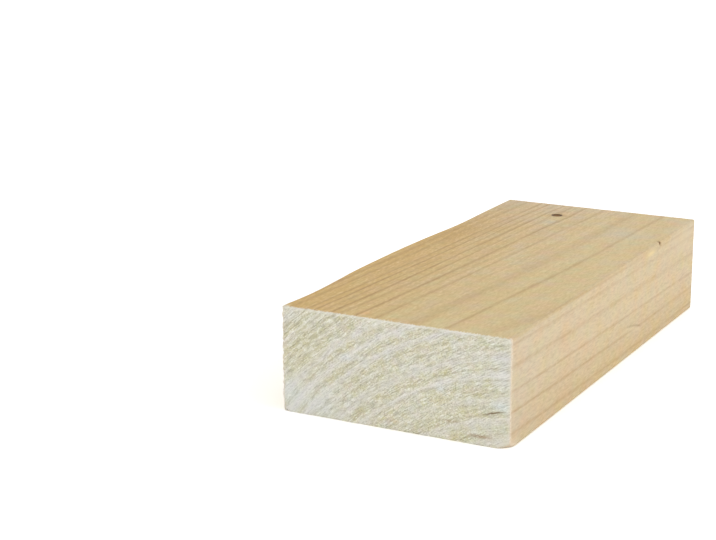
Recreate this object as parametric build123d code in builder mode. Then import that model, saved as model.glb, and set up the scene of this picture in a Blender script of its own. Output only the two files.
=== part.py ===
"""A short length of planed softwood plank, lying flat, made as the one solid piece it is."""
import math
import os

from build123d import *

# Overall size in millimetres. The plank lies on Z = 0 with its grain along Y, and is centred in X and Y.
length = 200.0
width = 90.0
thickness = 40.0

# Rounding of the three arrises that came straight from the planer
planed_rounding = 0.8

# The near end's bottom right corner was knocked off: how far along each edge, and the rounding of the worn rim
knock_across = 4.5
knock_along = 4.0
knock_up = 3.0
knock_rounding = 0.9

# The top left arris was eased by hand to a 45 degree bevel of uneven width.
# Each pair is a place, as a share of the length from the near end, and the bevel's leg there.
bevel_legs = [
    (0.00, 0.3),
    (0.10, 1.3),
    (0.19, 0.9),
    (0.27, 0.2),
    (0.37, 0.1),
    (0.46, 0.2),
    (0.58, 1.0),
    (0.73, 2.5),
    (0.86, 2.4),
    (1.00, 2.5),
]

# Pin knot in the top face, shrunk a little below the surface
knot_across = 4.6
knot_sink = 0.5
knot_from_left = 34.0
knot_from_far_end = 20.3

# How far a cutting shape runs past the surface that it cuts
overshoot = 2.0

# What follows from those sizes
half_width = width / 2
half_length = length / 2
knocked_corner = (half_width, -half_length, 0)
knock_plane = Plane(
    origin=(half_width - knock_across, -half_length, 0),
    z_dir=(1 / knock_across, -1 / knock_along, -1 / knock_up),
)
eased_arris = (-half_width, 0, thickness)
widest_leg = max(leg for _, leg in bevel_legs)
bevel_wave = [(length * (share - 0.5), -leg * math.sqrt(0.5)) for share, leg in bevel_legs]
bevel_plane = Plane(origin=eased_arris, x_dir=(0, 1, 0), z_dir=(1, 0, 1))
dish_radius = ((knot_across / 2) ** 2 + knot_sink**2) / (2 * knot_sink)
dish_centre = (knot_from_left - half_width, half_length - knot_from_far_end, thickness - knot_sink + dish_radius)

with BuildPart() as plank:
    # The square-sawn length
    with Locations((0, 0, thickness / 2)):
        Box(width, length, thickness)

    # The knocked corner goes, its rim is worn round, and the planed arrises are rounded into it
    split(bisect_by=knock_plane, keep=Keep.BOTTOM)
    knocked_face = plank.faces().sort_by_distance(knocked_corner)[0]
    knocked_rim = knocked_face.edges()
    planed_arrises = plank.edges().filter_by(Axis.Y).sort_by_distance(eased_arris)[1:]
    fillet(knocked_rim, knock_rounding)
    fillet(planed_arrises, planed_rounding)

    # The hand-eased bevel: its depth profile runs along the arris and is cut straight across it
    with BuildSketch(bevel_plane):
        with BuildLine():
            wave = Spline(*bevel_wave)
            Polyline(
                wave @ 1,
                (half_length + overshoot, (wave @ 1).Y),
                (half_length + overshoot, overshoot),
                (-half_length - overshoot, overshoot),
                (-half_length - overshoot, (wave @ 0).Y),
                wave @ 0,
            )
        make_face()
    extrude(amount=widest_leg + overshoot, both=True, mode=Mode.SUBTRACT)

    # The shallow round dish of the pin knot
    with Locations(dish_centre):
        Sphere(dish_radius, mode=Mode.SUBTRACT)
plank.part.label = "plank"

os.makedirs("parts", exist_ok=True)
export_step(plank.part, "parts/plank.step")
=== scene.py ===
"""Looks of a short length of planed softwood plank with sawn ends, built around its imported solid."""
import math

import bpy
import numpy as np
from mathutils import Matrix, Vector


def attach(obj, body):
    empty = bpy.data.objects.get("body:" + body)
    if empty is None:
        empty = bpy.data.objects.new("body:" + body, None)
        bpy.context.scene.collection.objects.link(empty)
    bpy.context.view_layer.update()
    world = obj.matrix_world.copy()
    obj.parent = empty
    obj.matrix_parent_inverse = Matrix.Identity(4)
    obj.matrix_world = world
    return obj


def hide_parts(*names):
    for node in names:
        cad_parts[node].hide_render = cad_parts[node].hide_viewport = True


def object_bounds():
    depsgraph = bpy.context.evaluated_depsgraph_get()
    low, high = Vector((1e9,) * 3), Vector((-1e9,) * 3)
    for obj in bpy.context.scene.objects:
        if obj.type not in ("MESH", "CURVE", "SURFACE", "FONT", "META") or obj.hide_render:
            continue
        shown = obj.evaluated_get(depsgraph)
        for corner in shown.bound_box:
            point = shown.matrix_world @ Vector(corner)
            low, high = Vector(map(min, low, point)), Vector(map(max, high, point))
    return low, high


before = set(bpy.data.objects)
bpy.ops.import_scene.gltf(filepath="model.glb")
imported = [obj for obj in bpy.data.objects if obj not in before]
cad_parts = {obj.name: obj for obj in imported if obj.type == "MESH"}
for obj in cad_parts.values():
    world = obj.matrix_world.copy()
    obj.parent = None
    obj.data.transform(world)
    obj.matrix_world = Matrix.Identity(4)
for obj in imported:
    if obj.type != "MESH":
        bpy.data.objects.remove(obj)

MM = 0.001
cad_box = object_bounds()
lowest, highest = (np.array(corner) / MM for corner in cad_box)
WIDTH, LENGTH, THICKNESS = highest - lowest
HALF_WIDTH = WIDTH / 2
HALF_LENGTH = LENGTH / 2

# Growth rings. The pith lies below and to the right of the plank and drifts a little along the grain.
PITH_X = 56.0
PITH_Z = -73.6
PITH_DRIFT_X = 0.010
PITH_DRIFT_Z = -0.016
# Each ring's late band where it crosses the plank: its radius, how dark it is planed, and its breadth
RINGS = [
    (78.0, 0.45, 0.65),
    (85.4, 0.50, 0.55),
    (92.8, 0.44, 0.55),
    (101.6, 0.32, 0.95),
    (109.5, 0.32, 0.65),
    (113.1, 0.35, 0.50),
    (117.2, 1.00, 0.24),
    (121.3, 0.60, 1.00),
    (124.4, 0.25, 0.35),
    (127.6, 0.88, 0.38),
    (129.6, 0.30, 0.35),
    (131.5, 1.35, 0.36),
    (134.5, 0.80, 0.36),
    (136.8, 1.45, 0.33),
    (138.8, 0.80, 0.33),
    (140.8, 1.40, 0.33),
    (142.8, 1.10, 0.38),
    (146.7, 0.75, 0.50),
    (149.3, 0.90, 0.55),
]
# How far the rings swell inwards along the plank, as places from its middle and millimetres there
GRAIN_DRIFT = [
    (-100, -0.75),
    (-75, -0.30),
    (-40, 0.05),
    (0, 0.25),
    (50, 0.40),
    (100, 0.50),
]
# Where single rings leave that drift: radius, place along the plank, reach across and along, and the shift
GRAIN_BENDS = [
    (117.2, 110, 3.0, 85, -1.3),
    (121.4, -15, 2.5, 40, 0.45),
    (121.4, 110, 2.5, 40, -0.7),
    (128.1, 30, 3.0, 60, 0.35),
    (78.0, -80, 4.0, 60, 0.4),
    (78.0, 110, 5.0, 45, -1.3),
    (85.1, 110, 3.0, 50, -0.5),
    (86.0, 85, 10.0, 60, -0.3),
    (117.2, -100, 3.0, 35, 0.5),
    (139.0, -95, 4.0, 25, -0.25),
    (138.0, 98, 9.0, 30, 0.5),
]
# Slow wavers of all rings: height, size across and along the grain, a shift of the pattern, and a seed
GRAIN_WAVERS = [
    (0.10, 14, 40, 9, 11),
    (0.07, 6, 15, 9, 12),
]

# Section: how far the planed corners' rounding reaches, and how full it is, as a conic's weight
PLANED_ROUNDING = 0.8
QUARTER_ROUND = math.sqrt(0.5)
# Leg of the hand-eased bevel at places along the plank, as shares of its length, and its fullness
BEVEL_LEGS = [
    (0.00, 0.3),
    (0.10, 1.3),
    (0.19, 0.9),
    (0.27, 0.2),
    (0.37, 0.1),
    (0.46, 0.2),
    (0.58, 1.0),
    (0.73, 2.5),
    (0.86, 2.4),
    (1.00, 2.5),
]
BEVEL_FULLNESS = 0.35

# The near end's bottom right corner, knocked off: how far along each edge, and how soft its rim is worn
KNOCK_ACROSS = 4.5
KNOCK_ALONG = 4.0
KNOCK_UP = 3.0
KNOCK_SOFTNESS = 0.35

# Pin knot in the top face, and how far it pushes the grain aside
KNOT_X = -11.0
KNOT_Y = 79.7
KNOT_RADIUS = 2.3
KNOT_SINK = 0.5
KNOT_PUSH = 1.7
KNOT_PARTING = 1.2
KNOT_REACH_ACROSS = 5.0
KNOT_REACH_ALONG = 8.0
KNOT_DEPTH = 9.0
# Arches of bent grain beyond it: their distance from its middle, and their breadth
KNOT_ARCHES = [
    (5.8, 0.45),
    (8.4, 0.60),
]

# A small hole knocked into the top right arris: its place, its size, how deep it goes into the side and
# how much of that downwards, and how far in from the side it reaches
NICK_Y = 54.3
NICK_Z = 39.3
NICK_LENGTH = 0.9
NICK_HEIGHT = 0.8
NICK_DEPTH = 0.6
NICK_DOWN = 0.5
NICK_REACH = 1.5

# A crack along a ring in the near end: where it is, how long and broad it is, how far it slants from the
# ring, and how deep it is beside the saw's rough cut
SHAKE_RADIUS = 85.4
SHAKE_X = 38.8
SHAKE_LENGTH = 3.6
SHAKE_SLANT = 0.08
SHAKE_BREADTH = 0.3
SHAKE_DEPTH = 1.2

# A curl of dark grain in the right-hand side: where it starts, how high it lies there and how far it drops
CURL_START = 12.9
CURL_LENGTH = 19.0
CURL_TOP = 13.3
CURL_DROP = 3.4

# Colours of the planed wood from the innermost ring outwards, as a radius and a screen colour
PLANED_TONES = [
    (76, (210, 187, 148)),
    (84, (213, 191, 154)),
    (94, (219, 199, 166)),
    (108, (219, 198, 161)),
    (116, (218, 196, 148)),
    (124, (216, 192, 144)),
    (132, (214, 187, 137)),
    (146, (213, 181, 127)),
]
# Smooth bluish bands between the granular yellowish wood of the sawn ends: a radius and how clear the band is
END_BANDS = [
    (75.0, 0.8),
    (82.4, 0.8),
    (90.0, 0.7),
    (98.2, 1.0),
    (105.1, 1.1),
    (110.3, 0.4),
    (115.2, 1.2),
    (120.7, 1.3),
    (125.8, 1.2),
    (131.0, 0.4),
    (138.0, 0.6),
    (145.0, 1.0),
]
END_BAND_BREADTH = 1.7
# Fine lines along the rings there: a radius, and how pale the line is or, below zero, how dark
END_LINES = [
    (76.4, 0.4),
    (78.2, -0.9),
    (83.4, 0.9),
    (84.7, -0.6),
    (90.7, 0.5),
    (92.5, -0.5),
    (96.2, 0.5),
    (97.3, -0.6),
    (98.6, 0.7),
    (101.2, -0.5),
    (104.0, 0.5),
    (105.5, -0.4),
    (106.8, 0.7),
    (109.0, -0.5),
    (110.6, 0.5),
    (112.3, -0.5),
    (116.0, 0.7),
    (118.0, -0.6),
    (120.6, 0.8),
    (122.8, -0.4),
    (125.3, 0.4),
    (127.5, 0.7),
    (130.0, -0.6),
    (131.5, 0.4),
    (133.0, -0.6),
    (134.5, 0.7),
    (135.6, -1.0),
    (136.8, 0.6),
    (138.0, -0.6),
    (138.9, 1.1),
    (140.5, -0.7),
    (141.7, 0.4),
    (142.7, -0.8),
    (143.5, 0.5),
]
END_LINE_BREADTH = 0.42
# The saw tore the end in short strokes, which run round a wider circle than the rings: its middle, and
# how much a step across and a step up count along the strokes
STROKE_X = 170.0
STROKE_Z = -210.0
STROKE_RUN = (0.8, 0.6)
# Patches of another colour on the near end: place across and up, size across and up, strength and colour
END_PATCHES = [
    ((18.5, 18.4), (2.0, 1.6), 0.80, (228, 234, 232)),
    ((8.0, 9.5), (2.2, 1.6), 0.50, (224, 229, 226)),
    ((-18.6, 24.2), (3.2, 1.5), 0.70, (222, 230, 226)),
    ((-41.0, 7.0), (7.0, 8.0), 0.75, (224, 231, 225)),
    ((-28.0, 4.5), (8.0, 5.0), 0.75, (226, 230, 226)),
    ((-40.0, 36.0), (4.0, 2.5), 0.55, (226, 228, 226)),
    ((-31.0, 26.0), (7.0, 7.0), 0.45, (210, 206, 166)),
    ((-37.0, 33.0), (9.0, 5.0), 0.40, (210, 204, 158)),
    ((-38.0, 20.0), (9.0, 8.0), 0.35, (213, 205, 160)),
    ((-9.0, 17.0), (7.0, 5.0), 0.45, (208, 202, 162)),
    ((41.5, 15.5), (4.5, 2.2), 0.80, (221, 229, 226)),
    ((37.5, 21.0), (3.5, 2.6), 0.25, (204, 208, 160)),
    ((42.5, 27.5), (3.5, 7.0), 0.70, (220, 221, 219)),
    ((40.0, 5.0), (5.0, 4.0), 0.45, (216, 217, 208)),
    ((36.5, 37.0), (3.2, 0.8), 0.50, (190, 196, 142)),
    ((22.0, 12.0), (10.0, 3.5), 0.30, (208, 200, 152)),
    ((0.4, 3.4), (3.0, 0.8), 0.45, (218, 186, 144)),
    ((34.0, 3.3), (4.0, 0.6), 0.85, (168, 134, 102)),
    ((22.5, 7.1), (4.0, 0.5), 0.60, (176, 146, 110)),
]
# The same for the top: place across and along
TOP_PATCHES = [
    ((-38.0, 36.0), (9.0, 28.0), 0.55, (198, 161, 98)),
    ((-38.0, 82.0), (9.0, 15.0), 0.30, (190, 166, 124)),
    ((27.0, 60.0), (6.5, 9.0), 0.50, (208, 202, 184)),
    ((9.0, 78.0), (5.0, 5.0), 0.45, (220, 196, 134)),
    ((-8.3, 66.5), (3.2, 3.6), 0.55, (200, 194, 174)),
    ((-15.0, 77.0), (1.6, 2.2), 0.40, (214, 168, 104)),
    ((-13.8, -94.5), (1.7, 2.0), 0.60, (226, 176, 108)),
    ((-2.0, -97.5), (2.6, 1.6), 0.45, (220, 172, 110)),
    ((-7.6, 79.4), (2.0, 1.3), 0.45, (166, 132, 96)),
]
# How deep those patches reach
PATCH_DEPTH = 3.0

# Surfaces: roughness, shine, and the depth of the fine unevenness in metres
PLANED_ROUGHNESS = 0.62
PLANED_SHINE = 0.2
PLANED_BUMP = 0.00003
SAWN_ROUGHNESS = 0.9
SAWN_SHINE = 0.1
SAWN_BUMP = 0.00015

# Screen colours of the planed wood's tints
FAR_LEFT_TONE = (212, 194, 164)
SIDE_NEAR_TONE = (212, 200, 180)
SIDE_TOP_TONE = (217, 203, 184)
TOP_NEAR_TONE = (206, 178, 108)
PINKISH = (222, 184, 152)
GREENISH = (206, 200, 150)
GOLDEN = (222, 190, 128)
GREYISH = (209, 196, 174)
RESIN_STAIN = (206, 167, 92)
DARK_FIBRES = (173, 146, 99)
PALE_FIBRES = (248, 226, 180)
RESIN_CANALS = (156, 116, 68)
LATEWOOD = (166, 123, 72)
PALE_SIDE_BLOTCH = (222, 208, 182)
PALE_ARRIS_SPOT = (239, 217, 164)
NICK_SHADE = (112, 78, 42)
CURL_LINE = (132, 100, 58)
CURL_GLOW = (238, 218, 178)
KNOT_STAIN = (190, 150, 96)
ARCH_LINE = (150, 118, 76)
ARCH_GLOW = (226, 208, 176)
KNOT_BARK = (92, 66, 38)
KNOT_CORE = (152, 114, 72)
KNOT_RINGS = (100, 72, 42)
# Painted shade that dims the highlight on the rounded top right arris
PAINTED_ARRIS_SHADE = (176, 150, 106)
AMBER_EDGE = (226, 180, 118)
TORN_FIBRES = (236, 230, 212)
# Painted highlight on the side along the near end's rounded right edge
PAINTED_SIDE_EDGE_HIGHLIGHT = (236, 218, 194)
TORN_LEFT = (226, 220, 202)
# Painted light that lifts the shade on the knocked corner's downward faces
PAINTED_KNOCK_LIGHT = (250, 238, 216)

# Screen colours of the sawn ends
SAWN_WOOD = (221, 217, 188)
# Painted light: a warmer far end, making up for the dimmer light that reaches it
PAINTED_FAR_END_LIGHT = (230, 213, 184)
SMOOTH_BAND = (224, 221, 224)
PALE_LINE = (246, 241, 234)
DARK_LINE = (166, 153, 126)
DARK_SPECKLE = (159, 155, 137)
PALE_SPECKLE = (255, 254, 242)
# Painted shade in the deeper hollows of the saw's rough cut
PAINTED_HOLLOW_SHADE = (166, 157, 126)
TOP_FUZZ = (246, 242, 230)
# Painted highlight along the ends' rounded right edges
PAINTED_RIGHT_EDGE_HIGHLIGHT = (244, 234, 216)
LEFT_FUZZ = (240, 226, 206)
CRACK = (120, 90, 60)
# Soft mottling there: size, detail, shift of the pattern, then a strength and a colour for either way
END_MOTTLING = [
    (7.0, 1.0, 0.0, (0.60, (220, 225, 219)), (0.45, (214, 204, 160))),
    (3.2, 2.0, 0.0, (0.75, (214, 208, 154)), (0.58, (222, 216, 211))),
    (3.0, 2.0, 50.0, (0.50, (228, 208, 192)), (0.50, (208, 214, 186))),
]
# Size of the ends' patterns in the direction into the wood
END_DEPTH = 9.0

# Numbers of the two materials on the mesh
PLANED = 0
END_GRAIN = 1

# Mesh: cells over the width and thickness of each end; the long faces have half as many
CELLS_ACROSS = 280
CELLS_UP = 124
# Points along the curve that rounds a corner
CURVE_POINTS = 17
# How much closer together the cells lie at the arrises and at the knot, and over which distances
ARRIS_CROWDING = 2.0
CROWDED_STRETCH = 1.2
KNOT_CROWDING = 1.6
KNOT_STRETCH = 1.3 * KNOT_RADIUS
# Samples along a side, from which the cells' places are worked out
CROWDING_SAMPLES = 4001
# Plain sections of the long faces, and how far they stay away from the ends, the knot and the nick
PLAIN_SECTIONS = 26
END_MARGIN = 5
KNOT_MARGIN = 6
NICK_MARGIN = 4
# Closer sections: their distances from the knot, the nick and each end
KNOT_STEPS = [0, 0.6, 1.2, 1.8, 2.2, 2.6, 3.2, 4, 5]
NICK_STEPS = [0, 0.45, 0.9, 1.3, 1.8, 3]
END_STEPS = [1.6, 2.8]
# How near to its plane a point counts as part of a face
ON_FACE = 0.01

# The saw's rough cut: its depth and, as shares of that, its average and the swing of its strokes and grains
# and of its clumps. A smooth band calms the first of these and lifts the cut by a share
END_RELIEF = 0.45
ROUGH_MIDDLE = 0.42
ROUGH_SWING = 0.34
CLUMP_SWING = 0.12
BAND_CALM = 0.5
BAND_LIFT = 0.15
# How far the ends' edges are eased: distances from the end and the insets there
END_EASING = [
    (0.00, 0.15),
    (0.12, 0.05),
    (0.35, 0.00),
    (0.90, 0.00),
]
# The left edge of an end is torn: how far at most, and how far along the edges from the left side. The
# other edges have a share of that. The tear's average and swing are shares too
TORN_EDGE = 0.8
TORN_REACH = 2.0
TORN_ELSEWHERE = 0.12
TORN_MIDDLE = 0.25
TORN_SWING = 0.45
# The near end's left edge is worn back towards the bottom: how far, and how high up
WORN_BACK = 0.8
WORN_HEIGHT = 6.0
# Random patterns of the torn edges and of the rough cut: size across and along, and a shift of places
TUFTS = (0.9, 0.9, 99)
FIBRES = (0.35, 0.35, 99)
STROKES = (0.5, 2.4, 900)
GRAINS = (0.45, 0.45, 300)
CLUMPS = (3.1, 2.7, 100)
# Seeds of the torn edges and of the rough cut, for the near end and the far one
TEAR_SEEDS = [21, 41]
RELIEF_SEEDS = [61, 71]
# Random values each way in a table of noise
NOISE_TABLE = 64

# Studio: places in metres, turns in degrees, lens and sensor in millimetres, and lamps in watts
CAMERA_PLACE = (0.26545, -0.61863, 0.21321)
CAMERA_TURN = 28.29
CAMERA_DOWN = 14.85
CAMERA_ROLL = -0.20
CAMERA_LENS = 87.56
CAMERA_SENSOR = 36.0
WORLD_STRENGTH = 0.65
FLOOR_REACH = 4.0
FLOOR_FOR_LIGHT = 0.8
FLOOR_FOR_CAMERA = 1.5
SOFTBOXES = [
    ("key", (1.3, 0.25, 0.55), (0.9, 0.9), 8.0),
    ("fill", (-0.2, -1.4, 0.45), (1.0, 1.0), 7.0),
    ("back", (-0.8, 1.3, 0.12), (1.0, 0.18), 3.0),
]


class Field:
    """A number that a material's nodes work out, so that a formula reads as plain arithmetic."""

    def __init__(self, nodes, socket):
        self.nodes = nodes
        self.socket = socket

    def math(self, operation, *values, clamp=False):
        """The result of one math node on these values."""
        node = self.nodes.new("ShaderNodeMath")
        node.operation = operation
        node.use_clamp = clamp
        for slot, value in zip(node.inputs, values):
            plug(self.nodes, value, slot)
        return Field(self.nodes, node.outputs[0])

    def __add__(self, other):
        return self.math("ADD", self, other)

    def __sub__(self, other):
        return self.math("SUBTRACT", self, other)

    def __rsub__(self, other):
        return self.math("SUBTRACT", other, self)

    def __mul__(self, other):
        return self.math("MULTIPLY", self, other)

    def __truediv__(self, other):
        return self.math("DIVIDE", self, other)

    def __pow__(self, other):
        return self.math("POWER", self, other)

    def __rpow__(self, other):
        return self.math("POWER", other, self)

    def __neg__(self):
        return self * -1.0


def plug(nodes, value, slot):
    """Sets an input to a plain value, or links it to a field's socket."""
    if isinstance(value, Field):
        nodes.id_data.links.new(value.socket, slot)
    else:
        slot.default_value = value


# Formulas that work alike on arrays of points and on a material's fields


def bell(distance, breadth):
    """1 at no distance, fading smoothly over the breadth."""
    share = distance / breadth
    return math.e ** (-(share * share))


def ring_radius(x, y, z, shift):
    """Distance from the pith, bent by the local shift of the grain."""
    across = x - PITH_X - y * PITH_DRIFT_X
    up = z - PITH_Z - y * PITH_DRIFT_Z
    return (across * across + up * up) ** 0.5 + shift


def soft_rings(radius, rings):
    """Sum of soft rings at this radius. Each has a radius of its own, a strength and a breadth."""
    total = 0.0
    for middle, strength, breadth in rings:
        total = bell(radius - middle, breadth) * strength + total
    return total


def end_bands(radius):
    """How much of a smooth bluish band the sawn end has at this radius."""
    return soft_rings(radius, [(*band, END_BAND_BREADTH) for band in END_BANDS])


def end_lines(radius):
    """How pale the sawn end's fine lines are at this radius, or how dark, below zero."""
    return soft_rings(radius, [(*line, END_LINE_BREADTH) for line in END_LINES])


def shake_radius(x):
    """Radius of the crack in the near end, which runs slightly across the rings."""
    return (x - SHAKE_X) * SHAKE_SLANT + SHAKE_RADIUS


def stroke_place(x, z):
    """Places across and along the saw's torn strokes."""
    across, up = x - STROKE_X, z - STROKE_Z
    return (across * across + up * up) ** 0.5, x * STROKE_RUN[0] + z * STROKE_RUN[1]


# Smooth random values for the mesh


def lattice_noise(seed, *coordinates):
    """Smooth noise between -1 and 1, from random values at whole coordinates."""
    table = np.random.default_rng(seed).uniform(-1, 1, (NOISE_TABLE,) * len(coordinates))
    cells = [np.floor(c).astype(int) for c in coordinates]
    shares = [c - cell for c, cell in zip(coordinates, cells)]
    shares = [s * s * (3 - 2 * s) for s in shares]
    total = 0.0
    for corner in np.ndindex((2,) * len(coordinates)):
        weight = 1.0
        index = []
        for step, cell, share in zip(corner, cells, shares):
            weight = weight * (share if step else 1 - share)
            index.append((cell + step) % NOISE_TABLE)
        total = total + weight * table[tuple(index)]
    return total


def pattern(seed, sizes, across, along):
    """Smooth noise with these sizes across and along and this shift of places."""
    width, length, shift = sizes
    return lattice_noise(seed, across / width + shift, along / length + shift)


def knot_push(x, y, z):
    """How far the knot pushes a point of the grain aside, away from the knot's middle."""
    across, along = x - KNOT_X, y - KNOT_Y
    push = KNOT_PUSH * np.tanh(across / KNOT_PARTING) * bell(across, KNOT_REACH_ACROSS)
    return push * bell(along, KNOT_REACH_ALONG) * bell(THICKNESS - z, KNOT_DEPTH)


def grain_shift(x, y, z):
    """How far the rings leave true circles: their drift, bends of single rings, the knot and slow wavers."""
    places, drifts = zip(*GRAIN_DRIFT)
    shift = np.interp(y, places, drifts)
    radius = ring_radius(x, y, z, shift)
    for ring, place, reach, length, bend in GRAIN_BENDS:
        shift = shift + bend * bell(radius - ring, reach) * bell(y - place, length)
    shift = shift - knot_push(x, y, z) * (x - PITH_X) / radius
    for height, across, along, start, seed in GRAIN_WAVERS:
        places = x / across + start, y / along + start, z / across + start
        shift = shift + height * lattice_noise(seed, *places)
    return shift


# The plank's mesh


def bevel_leg(y):
    """Leg of the hand-eased bevel along the top left arris, as a smooth curve through its stations."""
    places = np.array([share for share, _ in BEVEL_LEGS]) * LENGTH - HALF_LENGTH
    legs = np.array([leg for _, leg in BEVEL_LEGS])
    slopes = np.gradient(legs, places)
    i = np.clip(np.searchsorted(places, y) - 1, 0, len(places) - 2)
    gap = places[i + 1] - places[i]
    t = (y - places[i]) / gap
    start = legs[i] * (2 * t**3 - 3 * t**2 + 1) + slopes[i] * gap * (t**3 - 2 * t**2 + t)
    stop = legs[i + 1] * (3 * t**2 - 2 * t**3) + slopes[i + 1] * gap * (t**3 - t**2)
    return start + stop


def corner_curve(corner, before, after, reach, fullness):
    """Points on a conic that rounds a corner between its two sides, given by their directions from it."""
    t = np.linspace(0, 1, CURVE_POINTS)[:, None]
    first, last = corner + before * reach, corner + after * reach
    weights = (1 - t) ** 2, 2 * fullness * t * (1 - t), t**2
    return (weights[0] * first + weights[1] * corner + weights[2] * last) / sum(weights)


def crowded(count, size, spot=None):
    """Places from 0 to 1 along a side, closer together near its two ends and at a spot of interest."""
    fine = np.linspace(0, size, CROWDING_SAMPLES)
    density = 1 + ARRIS_CROWDING * np.exp(-np.minimum(fine, size - fine) / CROWDED_STRETCH)
    if spot is not None:
        density += KNOT_CROWDING * bell(fine - spot, KNOT_STRETCH)
    total = np.concatenate([[0], np.cumsum((density[1:] + density[:-1]) / 2)])
    return np.interp(np.linspace(0, total[-1], count + 1), total, fine) / size


def section_sides(y):
    """The section's bottom, right, top and left side at one place along the plank, each a row of points."""
    left, right = -HALF_WIDTH, HALF_WIDTH
    x_axis, z_axis = np.array([1.0, 0.0]), np.array([0.0, 1.0])
    planed = PLANED_ROUNDING, QUARTER_ROUND
    eased = bevel_leg(y) * (1 + BEVEL_FULLNESS), BEVEL_FULLNESS
    curves = [
        corner_curve(np.array([left, 0.0]), z_axis, x_axis, *planed),
        corner_curve(np.array([right, 0.0]), -x_axis, z_axis, *planed),
        corner_curve(np.array([right, THICKNESS]), -z_axis, -x_axis, *planed),
        corner_curve(np.array([left, THICKNESS]), x_axis, -z_axis, *eased),
    ]
    spots = [None, None, HALF_WIDTH - KNOT_X, None]
    sides = []
    for number, (count, size) in enumerate([(CELLS_ACROSS, WIDTH), (CELLS_UP, THICKNESS)] * 2):
        start, stop = curves[number], curves[(number + 1) % 4]
        middle = len(start) // 2
        path = np.concatenate([start[middle:], stop[: middle + 1]])
        run = np.concatenate([[0], np.cumsum(np.linalg.norm(np.diff(path, axis=0), axis=1))])
        places = crowded(count, size, spots[number]) * run[-1]
        sides.append(np.stack([np.interp(places, run, path[:, axis]) for axis in (0, 1)], axis=1))
    return sides


def joined(sides):
    """A section's four sides as one closed row of points."""
    return np.concatenate([side[:-1] for side in sides])


def drawn_in(sides, inset, torn, worn, seed):
    """A section's sides moved inwards by an inset, by ragged tearing and by wear at the bottom left."""
    loop = joined(sides)
    run = np.roll(loop, -1, axis=0) - np.roll(loop, 1, axis=0)
    inward = np.column_stack([-run[:, 1], run[:, 0]]) / np.linalg.norm(run, axis=1)[:, None]
    x, z = loop.T
    tufts = pattern(seed, TUFTS, x, z)
    fibres = pattern(seed + 1, FIBRES, x, z)
    left = bell(x + HALF_WIDTH, TORN_REACH)
    ragged = torn * (TORN_ELSEWHERE + (1 - TORN_ELSEWHERE) * left)
    ragged *= np.clip(TORN_MIDDLE + TORN_SWING * tufts + TORN_SWING * fibres, 0, 1)
    ragged += worn * left * np.clip(1 - z / WORN_HEIGHT, 0, 1)
    loop = loop + inward * (inset + ragged)[:, None]
    stops = np.cumsum([len(side) - 1 for side in sides])
    closed = np.concatenate([loop, loop[:1]])
    return [closed[stop - len(side) + 1 : stop + 1] for side, stop in zip(sides, stops)]


def stations():
    """Places along the length where the long faces have a section, closer at the knot, nick and ends."""
    plain = np.linspace(END_MARGIN - HALF_LENGTH, HALF_LENGTH - END_MARGIN, PLAIN_SECTIONS)
    clear = (abs(plain - KNOT_Y) > KNOT_MARGIN) & (abs(plain - NICK_Y) > NICK_MARGIN)
    places = [plain[clear]]
    for middle, steps in ((KNOT_Y, KNOT_STEPS), (NICK_Y, NICK_STEPS)):
        places += [middle - np.array(steps), middle + np.array(steps)]
    places += [np.array(END_STEPS) - HALF_LENGTH, HALF_LENGTH - np.array(END_STEPS)]
    return np.unique(np.concatenate(places))


def end_grid(sides):
    """Fills the outline of an end with a grid of points, [across, up]."""
    bottom, right, top, left = sides
    top, left = top[::-1], left[::-1]
    u = crowded(CELLS_ACROSS, WIDTH)[:, None, None]
    v = crowded(CELLS_UP, THICKNESS)[None, :, None]
    between_rows = (1 - v) * bottom[:, None] + v * top[:, None]
    between_columns = (1 - u) * left[None] + u * right[None]
    corners = (1 - u) * ((1 - v) * bottom[0] + v * top[0]) + u * ((1 - v) * bottom[-1] + v * top[-1])
    return between_rows + between_columns - corners


def end_index(edge, inside):
    """Numbers of an end's points, [across, up], from those round its edge and those inside it."""
    index = np.zeros((CELLS_ACROSS + 1, CELLS_UP + 1), int)
    bottom, right, top, left = np.split(edge, np.cumsum([CELLS_ACROSS, CELLS_UP, CELLS_ACROSS]))
    index[:-1, 0] = bottom
    index[-1, :-1] = right
    index[:0:-1, -1] = top
    index[0, :0:-1] = left
    index[1:-1, 1:-1] = inside.reshape(CELLS_ACROSS - 1, CELLS_UP - 1)
    return index


def sawn_relief(x, y, z, seed):
    """Depth of the torn saw cut below the end's plane: strokes and fuzz up to 1, and the deeper crack."""
    radius = ring_radius(x, y, z, grain_shift(x, y, z))
    across, along = stroke_place(x, z)
    strokes = pattern(seed, STROKES, across, along)
    grains = pattern(seed + 1, GRAINS, x, z)
    clumps = pattern(seed + 2, CLUMPS, x, z)
    smooth = end_bands(radius)
    fine = (ROUGH_SWING * strokes + ROUGH_SWING * grains) * (1 - BAND_CALM * np.clip(smooth, 0, 1))
    rough = ROUGH_MIDDLE + fine + CLUMP_SWING * clumps
    near_shake = bell(radius - shake_radius(x), SHAKE_BREADTH) * bell(x - SHAKE_X, SHAKE_LENGTH) * (y < 0)
    return np.clip(rough - BAND_LIFT * smooth, 0, 1) + SHAKE_DEPTH * near_shake


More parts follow.
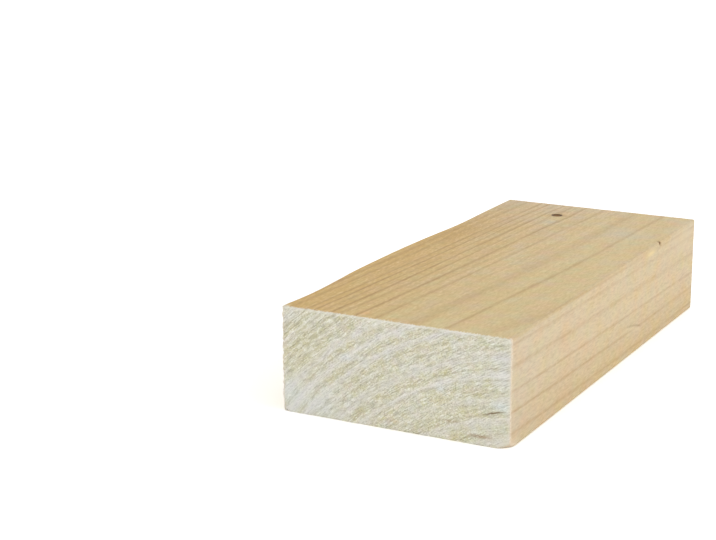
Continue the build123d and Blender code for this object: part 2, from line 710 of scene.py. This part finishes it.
class Surface:
    """Points and faces of a mesh as it grows."""

    def __init__(self):
        self.points = []
        self.faces = []
        self.materials = []
        self.count = 0

    def add_points(self, points):
        """Adds points and returns their numbers."""
        first = self.count
        self.points.append(points)
        self.count += len(points)
        return first + np.arange(len(points))

    def add_faces(self, faces, material):
        """Adds faces of one material, each a row of point numbers."""
        self.faces.extend(faces.tolist())
        self.materials.extend([material] * len(faces))

    def add_strip(self, first, second, material):
        """Quads between two closed rows of points with as many points each."""
        faces = np.column_stack([first, second, np.roll(second, -1), np.roll(first, -1)])
        self.add_faces(faces, material)

    def add_stitch(self, fine, coarse, flip, material):
        """Joins a closed row of points to one with half as many."""
        start, middle, stop = fine[0::2], fine[1::2], np.roll(fine, -2)[0::2]
        after = np.roll(coarse, -1)
        triangles = [(start, middle, coarse), (middle, after, coarse), (middle, stop, after)]
        for a, b, c in triangles:
            self.add_faces(np.column_stack([a, b, c] if flip else [b, a, c]), material)


def placed(section, y):
    """A section's points at a place along the plank."""
    return np.column_stack([section[:, 0], np.full(len(section), y), section[:, 1]])


def add_end(surface, side, seed):
    """One sawn end with its torn and eased edges. It returns the row of points where the long faces go on."""
    rows = []
    for distance, inset in END_EASING:
        y = side * (HALF_LENGTH - distance)
        share = (1 - distance / END_EASING[-1][0]) ** 0.5
        worn = WORN_BACK * share * (side < 0)
        sides = drawn_in(section_sides(y), inset, TORN_EDGE * share, worn, seed)
        rows.append(surface.add_points(placed(joined(sides), y)))
        if distance == 0:
            outline, plane = sides, y
    for outer, inner in zip(rows, rows[1:]):
        first, second = (outer, inner) if side < 0 else (inner, outer)
        surface.add_strip(first, second, END_GRAIN if outer is rows[0] else PLANED)

    grid = end_grid(outline)[1:-1, 1:-1].reshape(-1, 2)
    index = end_index(rows[0], surface.add_points(placed(grid, plane)))
    corners = [index[:-1, :-1], index[1:, :-1], index[1:, 1:], index[:-1, 1:]]
    if side > 0:
        corners.reverse()
    surface.add_faces(np.column_stack([corner.ravel() for corner in corners]), END_GRAIN)
    return rows[-1]


def add_long_faces(surface, near, far):
    """The four long faces, between the rows of points where the two ends stop."""
    rows = []
    for y in stations():
        rows.append(surface.add_points(placed(joined(section_sides(y))[::2], y)))
    surface.add_stitch(near, rows[0], False, PLANED)
    for first, second in zip(rows, rows[1:]):
        surface.add_strip(first, second, PLANED)
    surface.add_stitch(far, rows[-1], True, PLANED)


def sawn_depth(x, y, z):
    """How deep the saw's rough cut is at every point, which is nothing on the long faces."""
    depth = np.zeros(len(x))
    for side, seed in zip((-1, 1), RELIEF_SEEDS):
        on_end = y * side > HALF_LENGTH - ON_FACE
        depth[on_end] = sawn_relief(x[on_end], y[on_end], z[on_end], seed)
    return depth


def knock_corner(points):
    """Moves the points beyond the knocked corner's plane straight back to it, softly at the rim."""
    slope = np.array([-1 / KNOCK_ACROSS, 1 / KNOCK_ALONG, 1 / KNOCK_UP])
    steepness = np.linalg.norm(slope)
    beyond = (1 - (points - (HALF_WIDTH, -HALF_LENGTH, 0)) @ slope) / steepness / KNOCK_SOFTNESS
    points += np.outer(np.logaddexp(0, beyond) * KNOCK_SOFTNESS, slope / steepness)


def knot_dish(x, y):
    """Depth of the shallow dish over the knot."""
    distance = np.minimum(np.hypot(x - KNOT_X, y - KNOT_Y), KNOT_RADIUS)
    dish_radius = (KNOT_RADIUS**2 + KNOT_SINK**2) / (2 * KNOT_SINK)
    return np.sqrt(dish_radius**2 - distance**2) - dish_radius + KNOT_SINK


def plank_mesh():
    """One closed mesh: sections joined along the grain, and a fine grid over each sawn end."""
    surface = Surface()
    near, far = (add_end(surface, side, seed) for side, seed in zip((-1, 1), TEAR_SEEDS))
    add_long_faces(surface, near, far)
    points = np.concatenate(surface.points)
    x, y, z = points.T.copy()

    depth = sawn_depth(x, y, z)
    points[:, 1] -= np.sign(y) * END_RELIEF * depth
    knock_corner(points)
    points[:, 2] -= knot_dish(x, y) * (z > THICKNESS - ON_FACE)
    hole = bell(y - NICK_Y, NICK_LENGTH) * bell(z - NICK_Z, NICK_HEIGHT) * bell(x - HALF_WIDTH, NICK_REACH)
    points[:, 0] -= NICK_DEPTH * hole
    points[:, 2] -= NICK_DOWN * NICK_DEPTH * hole

    mesh = bpy.data.meshes.new("softwood_plank")
    mesh.from_pydata((points * MM).tolist(), [], surface.faces)
    mesh.polygons.foreach_set("material_index", np.array(surface.materials))
    mesh.polygons.foreach_set("use_smooth", np.ones(len(surface.faces), bool))
    for name, values in (("grain_shift", grain_shift(x, y, z)), ("torn_depth", depth)):
        mesh.attributes.new(name, "FLOAT", "POINT").data.foreach_set("value", values)
    return mesh


# Materials


def linear(colour):
    """A colour as seen on a screen, 0 to 255, turned into the renderer's own values."""
    shares = [channel / 255 for channel in colour]
    return tuple(s / 12.92 if s <= 0.04045 else ((s + 0.055) / 1.055) ** 2.4 for s in shares) + (1.0,)


class Wood:
    """A wood material under construction, with the plank's own coordinates in millimetres."""

    def __init__(self, name, colour, roughness, shine):
        self.material = bpy.data.materials.new(name)
        self.material.use_nodes = True
        self.nodes = self.material.node_tree.nodes
        self.shader = self.nodes["Principled BSDF"]
        self.colour = linear(colour)
        self.shader.inputs["Base Color"].default_value = self.colour
        self.shader.inputs["Roughness"].default_value = roughness
        self.shader.inputs["Specular IOR Level"].default_value = shine
        self.place = self.nodes.new("ShaderNodeTexCoord").outputs["Object"]
        split = self.nodes.new("ShaderNodeSeparateXYZ")
        self.link(self.place, split.inputs[0])
        self.x, self.y, self.z = (Field(self.nodes, out) / MM for out in split.outputs)
        self.radius = ring_radius(self.x, self.y, self.z, self.attribute("grain_shift"))
        self.arc = self.x.math("ARCTAN2", self.z - PITH_Z, self.x - PITH_X) * self.radius

    def link(self, socket, slot):
        self.material.node_tree.links.new(socket, slot)

    def attribute(self, name):
        """A value that the mesh carries at its points."""
        node = self.nodes.new("ShaderNodeAttribute")
        node.attribute_name = name
        return Field(self.nodes, node.outputs["Fac"])

    def ramp(self, value, low, high):
        """The value's place between two limits, kept from 0 to 1."""
        return value.math("DIVIDE", value - low, high - low, clamp=True)

    def near_face(self, value, face, start=1.5, full=0.5):
        """1 where a coordinate comes close to a face, starting from 0 a little further in."""
        return self.ramp(value, face - start, face - full)

    def spot(self, place, size):
        """1 at a place, fading smoothly away from it. Place and size are along x, y and z."""
        vector = self.place
        for operation, values in (("SUBTRACT", place), ("DIVIDE", size)):
            node = self.nodes.new("ShaderNodeVectorMath")
            node.operation = operation
            self.link(vector, node.inputs[0])
            node.inputs[1].default_value = [value * MM for value in values]
            vector = node.outputs[0]
        length = self.nodes.new("ShaderNodeVectorMath")
        length.operation = "LENGTH"
        self.link(vector, length.inputs[0])
        return bell(Field(self.nodes, length.outputs["Value"]), 1.0)

    def noise(self, x, y, z, detail=2.0, roughness=0.5):
        """Smooth noise from about -1 to 1 at these coordinates."""
        join = self.nodes.new("ShaderNodeCombineXYZ")
        for value, slot in zip((x, y, z), join.inputs):
            plug(self.nodes, value, slot)
        node = self.nodes.new("ShaderNodeTexNoise")
        self.link(join.outputs[0], node.inputs["Vector"])
        node.inputs["Scale"].default_value = 1.0
        node.inputs["Detail"].default_value = detail
        node.inputs["Roughness"].default_value = roughness
        return Field(self.nodes, node.outputs["Fac"]) * 4.0 - 2.0

    def grains(self, across, along, detail=2.0, roughness=0.5, shift=0.0):
        """Noise with grains of this size across the plank's length and along it."""
        return self.noise(self.x / across + shift, self.y / along, self.z / across, detail, roughness)

    def tint(self, share, colour):
        """Turns the wood's colour towards a screen colour, by a share that is kept from 0 to 1."""
        node = self.nodes.new("ShaderNodeMix")
        node.data_type = "RGBA"
        plug(self.nodes, share, node.inputs[0])
        if isinstance(self.colour, tuple):
            node.inputs[6].default_value = self.colour
        else:
            self.link(self.colour, node.inputs[6])
        node.inputs[7].default_value = linear(colour)
        self.colour = node.outputs[2]
        self.link(self.colour, self.shader.inputs["Base Color"])

    def tint_both_ways(self, value, above, below):
        """Tints by how far a value is above zero or below it, each way with its own strength and colour."""
        for sign, (strength, colour) in ((1, above), (-1, below)):
            self.tint(value * (sign * strength), colour)

    def tint_spot(self, place, size, strength, colour):
        """A soft spot of another colour. Place and size are along x, y and z."""
        self.tint(self.spot(place, size) * strength, colour)

    def bump(self, height, distance):
        """Roughens the surface without moving it."""
        node = self.nodes.new("ShaderNodeBump")
        node.inputs["Distance"].default_value = distance
        self.link(height.socket, node.inputs["Height"])
        self.link(node.outputs[0], self.shader.inputs["Normal"])


def tint_slow_tones(wood, radius, on_side):
    """Slow changes of the planed wood's tone: over the rings, over the faces, in blotches and in patches."""
    x, y, z = wood.x, wood.y, wood.z
    for (inner, _), (outer, colour) in zip(PLANED_TONES, PLANED_TONES[1:]):
        wood.tint(wood.ramp(wood.radius, inner, outer), colour)
    wood.tint(wood.ramp(y, 20.0, 110.0) * wood.ramp(radius, 112.0, 140.0) * 0.7, FAR_LEFT_TONE)
    wood.tint(on_side * wood.ramp(-y, 55.0, 95.0) * 0.46, SIDE_NEAR_TONE)
    wood.tint(on_side * wood.ramp(z, 22.0, 38.0) * 0.30, SIDE_TOP_TONE)
    wood.tint(wood.near_face(z, THICKNESS) * wood.ramp(-y, -30.0, 60.0) * 0.26, TOP_NEAR_TONE)

    blush = wood.grains(6.0, 9.0, 1.0) * (1.0 - on_side * 0.25)
    wood.tint_both_ways(blush, (0.42, PINKISH), (0.42, GREENISH))
    glow = wood.grains(7.5, 11.0, 1.0, shift=70.0) * (wood.ramp(y, -60.0, 60.0) * 0.5 + 0.75)
    wood.tint_both_ways(glow, (0.34, GOLDEN), (0.32, GREYISH))

    wood.tint(wood.ramp(-x, 0.0, 45.0) * wood.ramp(-y, -85.0, -35.0) * 0.67, RESIN_STAIN)
    for (middle_x, middle_y), (size_x, size_y), strength, colour in TOP_PATCHES:
        wood.tint_spot((middle_x, middle_y, THICKNESS), (size_x, size_y, PATCH_DEPTH), strength, colour)


def tint_fibres(wood, radius, at_left, fibres):
    """The planed wood's fine grain: fibres, streaks along the rings, flecks and dark resin canals."""
    streaks = wood.noise(radius / 0.5, wood.y / 40.0, wood.arc / 9.0)
    flecks = wood.grains(0.62, 2.4, 1.0)
    tone = fibres * 0.18 + streaks * (at_left * 0.13 + 0.09) + flecks * (at_left * 0.08 + 0.18)
    wood.tint_both_ways(tone, (1.0, DARK_FIBRES), (1.0, PALE_FIBRES))
    canals = wood.grains(0.30, 3.2, 1.0)
    wood.tint(wood.ramp(canals, 0.95, 1.3) * 0.30, RESIN_CANALS)


def tint_knot(wood):
    """The pin knot: a dark rim of bark round a brown core with rings of its own, and the stain about it."""
    x, y, z = wood.x, wood.y, wood.z
    across, along = x - KNOT_X, y - KNOT_Y
    distance = (across * across + along * along) ** 0.5
    ragged = distance + wood.noise(x / 0.9, y / 0.9, z / 9.0) * 0.18
    at_top = wood.near_face(z, THICKNESS, 2.5, 1.2)
    wood.tint(bell(ragged - 3.0, 0.9) * at_top * 0.35, KNOT_STAIN)
    for arch, breadth in KNOT_ARCHES:
        ahead = wood.ramp(along * 0.92 - across * 0.4, arch * 0.75, arch)
        wood.tint(bell(ragged - arch, breadth) * ahead * at_top * 0.30, ARCH_LINE)
        wood.tint(bell(ragged - (arch - 1.3), breadth) * ahead * at_top * 0.45, ARCH_GLOW)
    inside = wood.ramp(KNOT_RADIUS + 0.32 - ragged, 0.0, 0.35) * at_top
    wood.tint(inside, KNOT_BARK)
    core = wood.ramp(KNOT_RADIUS * 0.72 - ragged, 0.0, 0.4) * at_top
    wood.tint(core * 0.75, KNOT_CORE)
    rings = wood.ramp(ragged.math("SINE", ragged * 9.0), 0.2, 1.0)
    wood.tint(rings * core * 0.35, KNOT_RINGS)


def tint_curl(wood):
    """A short curl of dark grain in the right-hand side, where one ring's line lifts and drops back."""
    run = (wood.y - CURL_START) / CURL_LENGTH
    below = wood.z - CURL_TOP + run.math("MAXIMUM", run, 0.0) ** 1.7 * CURL_DROP
    there = wood.ramp(run, -0.2, 0.5) * wood.ramp(1.1 - run, 0.0, 0.12)
    there = there * wood.near_face(wood.x, HALF_WIDTH, 2.0, 0.5)
    wood.tint(bell(below, 0.50) * there * 0.30, CURL_LINE)
    wood.tint(bell(below + 1.3, 0.9) * there * 0.35, CURL_GLOW)


def tint_painted_knock_light(wood):
    """Painted light on the corner that was knocked off, lifting the shade on its downward faces."""
    wood.tint_spot((HALF_WIDTH, -HALF_LENGTH, -1.0), (5.0, 5.0, 3.0), 1.0, PAINTED_KNOCK_LIGHT)


def tint_torn_edges_and_painted_light(wood, on_side):
    """Painted shade on the top right arris, pale torn fibres where the long faces meet the near end, a
    painted highlight along that end's right edge, and painted light on the knocked corner.
    """
    x, y, z = wood.x, wood.y, wood.z
    uneven = wood.grains(5.0, 4.0) * 0.3 + 1.0
    # Painted shade on the rounded top right arris, dimming the highlight it catches
    arris = wood.near_face(x, HALF_WIDTH, 1.2, 0.4) * wood.near_face(z, THICKNESS, 1.7, 0.5)
    wood.tint(arris * uneven * 0.16, PAINTED_ARRIS_SHADE)

    from_end = y + HALF_LENGTH
    tufts = wood.grains(0.7, 0.9, 2.0, 0.6)
    on_top = wood.near_face(z, THICKNESS)
    on_left = wood.near_face(-x, HALF_WIDTH, 3.0, 1.0)
    wood.tint(bell(from_end, 2.2) * wood.ramp(tufts, -0.1, 0.7) * on_top * 0.30, AMBER_EDGE)
    wood.tint(wood.ramp(tufts * 1.6 + 0.7 - from_end, 0.0, 0.4) * 0.85, TORN_FIBRES)
    # Painted highlight on the side along the near end's rounded edge
    wood.tint(bell(from_end, 1.5) * on_side * 0.6, PAINTED_SIDE_EDGE_HIGHLIGHT)
    wood.tint(bell(from_end, 2.0) * on_left * 0.9, TORN_LEFT)
    tint_painted_knock_light(wood)


def planed_wood():
    """Planed long faces: pale tan with darker lines of latewood, fine fibres and slow blotches."""
    wood = Wood("planed_softwood", PLANED_TONES[0][1], PLANED_ROUGHNESS, PLANED_SHINE)
    y = wood.y
    radius = wood.radius + wood.grains(1.6, 5.0) * 0.09
    on_side = wood.near_face(wood.x, HALF_WIDTH)
    at_left = wood.ramp(radius, 116.0, 132.0)
    fibres = wood.grains(0.40, 3.0, 2.0, 0.6)
    tint_slow_tones(wood, radius, on_side)
    tint_fibres(wood, radius, at_left, fibres)

    strength = wood.noise(radius / 3.0, y / 14.0, wood.arc / 30.0, 3.0, 0.7) * 0.42 + 1.0
    towards_near_end = wood.ramp(-y, -30.0, 50.0) * 0.3 + 1.0
    lines = soft_rings(radius, RINGS) * strength * (on_side * 0.7 + 1.0) * towards_near_end
    wood.tint(lines * (at_left * 0.03 + 0.28), LATEWOOD)
    wood.tint_spot((HALF_WIDTH, 88.0, 35.0), (2.0, 16.0, 6.0), 0.45, PALE_SIDE_BLOTCH)
    wood.tint_spot((HALF_WIDTH, 43.0, 37.6), (1.5, 5.5, 1.1), 0.80, PALE_ARRIS_SPOT)
    tint_curl(wood)
    tint_knot(wood)
    tint_torn_edges_and_painted_light(wood, on_side)
    wood.tint_spot((HALF_WIDTH - 0.5, NICK_Y, NICK_Z), (1.0, NICK_LENGTH, NICK_HEIGHT), 1.3, NICK_SHADE)
    wood.bump(fibres * 0.5 + lines * 0.5, PLANED_BUMP)
    return wood.material


def tint_end_rings(wood, radius):
    """Smooth bands and fine lines along the rings of a sawn end. It returns how much band there is."""
    arc, depth = wood.arc, wood.y / END_DEPTH
    bands = end_bands(radius)
    band_strength = wood.noise(radius / 4.0, arc / 9.0, depth) * 0.5 + 1.0
    wood.tint(bands * band_strength * 0.38, SMOOTH_BAND)
    threads = wood.noise(radius / 0.52, arc / 16.0, depth, 1.0)
    line_strength = wood.noise(radius / 2.0, arc / 6.0, depth) * 0.5 + 1.0
    lines = end_lines(radius) * line_strength + threads * 0.50
    wood.tint(wood.ramp(lines, 0.0, 1.5) * 0.64, PALE_LINE)
    wood.tint(wood.ramp(-lines, 0.0, 1.5) * 0.54, DARK_LINE)
    return bands


def tint_end_edges(wood, grains):
    """Pale fuzz along the top and left edges of the sawn ends, a painted highlight along their right edges,
    the crack in the near one and painted light on its knocked corner.
    """
    x, y, z = wood.x, wood.y, wood.z
    wood.tint(bell(z - THICKNESS, 0.8) * wood.ramp(grains, -1.2, 0.6) * 0.8, TOP_FUZZ)
    # Painted highlight along the rounded right edge of each end
    wood.tint(bell(x - HALF_WIDTH, 0.9) * 0.50, PAINTED_RIGHT_EDGE_HIGHLIGHT)
    wood.tint(bell(x + HALF_WIDTH, 0.8) * 0.6, LEFT_FUZZ)
    at_near_end = wood.near_face(-y, HALF_LENGTH, 2.0, 1.5)
    shake = bell(wood.radius - shake_radius(x), 0.20) * bell(x - SHAKE_X, SHAKE_LENGTH) * at_near_end
    wood.tint(shake, CRACK)
    tint_painted_knock_light(wood)


def end_grain():
    """Sawn ends: cream and woolly, with smooth bluish bands between granular yellowish wood."""
    wood = Wood("sawn_end_grain", SAWN_WOOD, SAWN_ROUGHNESS, SAWN_SHINE)
    radius = wood.radius + wood.grains(3.0, END_DEPTH) * 0.10
    across, along = stroke_place(wood.x, wood.z)
    strokes = wood.noise(across / 0.40, along / 3.2, wood.y / END_DEPTH, 1.0)
    grains = wood.grains(0.60, END_DEPTH, 1.0, 0.6)

    # Painted light: the far end is turned warmer to make up for its dimmer light
    wood.tint(wood.ramp(wood.y, 0.0, 50.0) * 0.45, PAINTED_FAR_END_LIGHT)
    for size, detail, shift, above, below in END_MOTTLING:
        wood.tint_both_ways(wood.grains(size, END_DEPTH, detail, shift=shift), above, below)
    for (middle_x, middle_z), (size_x, size_z), strength, colour in END_PATCHES:
        wood.tint_spot((middle_x, -HALF_LENGTH, middle_z), (size_x, PATCH_DEPTH, size_z), strength, colour)
    bands = tint_end_rings(wood, radius)

    smooth_corner = wood.spot((-HALF_WIDTH, -HALF_LENGTH, 2.0), (22.0, 5.0, 12.0))
    lower_right = wood.spot((HALF_WIDTH, -HALF_LENGTH, 4.0), (24.0, 5.0, 10.0))
    right_edge = wood.spot((HALF_WIDTH, -HALF_LENGTH, 24.0), (10.0, 5.0, 18.0))
    grainy = (1.1 - wood.ramp(bands, 0.0, 1.2) * 0.35) * (1.0 - smooth_corner * 0.45)
    speckle = (strokes * (0.92 - lower_right * 0.45) + grains * (0.80 - right_edge * 0.50)) * grainy
    wood.tint(wood.ramp(speckle, 0.05, 1.1) * 0.58, DARK_SPECKLE)
    wood.tint(wood.ramp(-speckle, 0.05, 1.1) * 0.76, PALE_SPECKLE)
    # Painted shade, darker where the rough cut is deeper
    wood.tint(wood.ramp(wood.attribute("torn_depth"), 0.3, 1.6) * 0.4, PAINTED_HOLLOW_SHADE)
    tint_end_edges(wood, grains)
    wood.bump(strokes * 0.5 + grains * 0.5, SAWN_BUMP)
    return wood.material


# Studio


def add_floor():
    """A floor that looks white to the camera, with a faint shadow, and throws back less light than that."""
    mesh = bpy.data.meshes.new("floor")
    corners = [(x * FLOOR_REACH, y * FLOOR_REACH, 0) for x, y in ((-1, -1), (1, -1), (1, 1), (-1, 1))]
    mesh.from_pydata(corners, [], [(0, 1, 2, 3)])
    floor = bpy.data.objects.new("floor", mesh)
    bpy.context.collection.objects.link(floor)
    material = bpy.data.materials.new("floor")
    material.use_nodes = True
    nodes, links = material.node_tree.nodes, material.node_tree.links
    shader = nodes["Principled BSDF"]
    shader.inputs["Roughness"].default_value = 1.0
    shader.inputs["Specular IOR Level"].default_value = 0.0
    rays = nodes.new("ShaderNodeLightPath")
    mix = nodes.new("ShaderNodeMix")
    mix.data_type = "RGBA"
    for slot, tone in ((6, FLOOR_FOR_LIGHT), (7, FLOOR_FOR_CAMERA)):
        mix.inputs[slot].default_value = (tone, tone, tone, 1)
    links.new(rays.outputs["Is Camera Ray"], mix.inputs[0])
    links.new(mix.outputs[2], shader.inputs["Base Color"])
    floor.data.materials.append(material)


def add_world():
    """White surroundings: dimmer as a light than as the camera and glossy surfaces see them."""
    world = bpy.data.worlds.new("studio")
    bpy.context.scene.world = world
    world.use_nodes = True
    nodes, links = world.node_tree.nodes, world.node_tree.links
    light = nodes["Background"]
    light.inputs["Strength"].default_value = WORLD_STRENGTH
    white = nodes.new("ShaderNodeBackground")
    for background in (light, white):
        background.inputs["Color"].default_value = (1, 1, 1, 1)
    rays = nodes.new("ShaderNodeLightPath")
    add = nodes.new("ShaderNodeMath")
    add.operation = "ADD"
    add.use_clamp = True
    mix = nodes.new("ShaderNodeMixShader")
    links.new(rays.outputs["Is Camera Ray"], add.inputs[0])
    links.new(rays.outputs["Is Glossy Ray"], add.inputs[1])
    links.new(add.outputs[0], mix.inputs[0])
    links.new(light.outputs[0], mix.inputs[1])
    links.new(white.outputs[0], mix.inputs[2])
    links.new(mix.outputs[0], nodes["World Output"].inputs[0])


def add_softbox(name, place, size, power):
    """A rectangular lamp that faces the middle of the plank."""
    data = bpy.data.lights.new(name, "AREA")
    data.shape = "RECTANGLE"
    data.size, data.size_y = size
    data.energy = power
    lamp = bpy.data.objects.new(name, data)
    lamp.location = place
    middle = Vector((0, 0, THICKNESS / 2 * MM))
    lamp.rotation_euler = (Vector(place) - middle).to_track_quat("Z", "Y").to_euler()
    bpy.context.collection.objects.link(lamp)


def add_camera():
    """A camera that sees the plank as the photo does."""
    data = bpy.data.cameras.new("camera")
    data.sensor_width = CAMERA_SENSOR
    data.lens = CAMERA_LENS
    camera = bpy.data.objects.new("camera", data)
    turn = Matrix.Rotation(math.radians(CAMERA_TURN), 4, "Z")
    tilt = Matrix.Rotation(math.radians(90 - CAMERA_DOWN), 4, "X")
    roll = Matrix.Rotation(math.radians(CAMERA_ROLL), 4, "Z")
    camera.matrix_world = Matrix.Translation(CAMERA_PLACE) @ turn @ tilt @ roll
    bpy.context.collection.objects.link(camera)
    bpy.context.scene.camera = camera


plank = bpy.data.objects.new("softwood_plank", plank_mesh())
bpy.context.collection.objects.link(plank)
plank.data.materials.append(planed_wood())
plank.data.materials.append(end_grain())
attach(plank, "root")
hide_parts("plank")

add_floor()
add_world()
for softbox in SOFTBOXES:
    add_softbox(*softbox)
add_camera()
bpy.context.scene.view_settings.view_transform = "Standard"
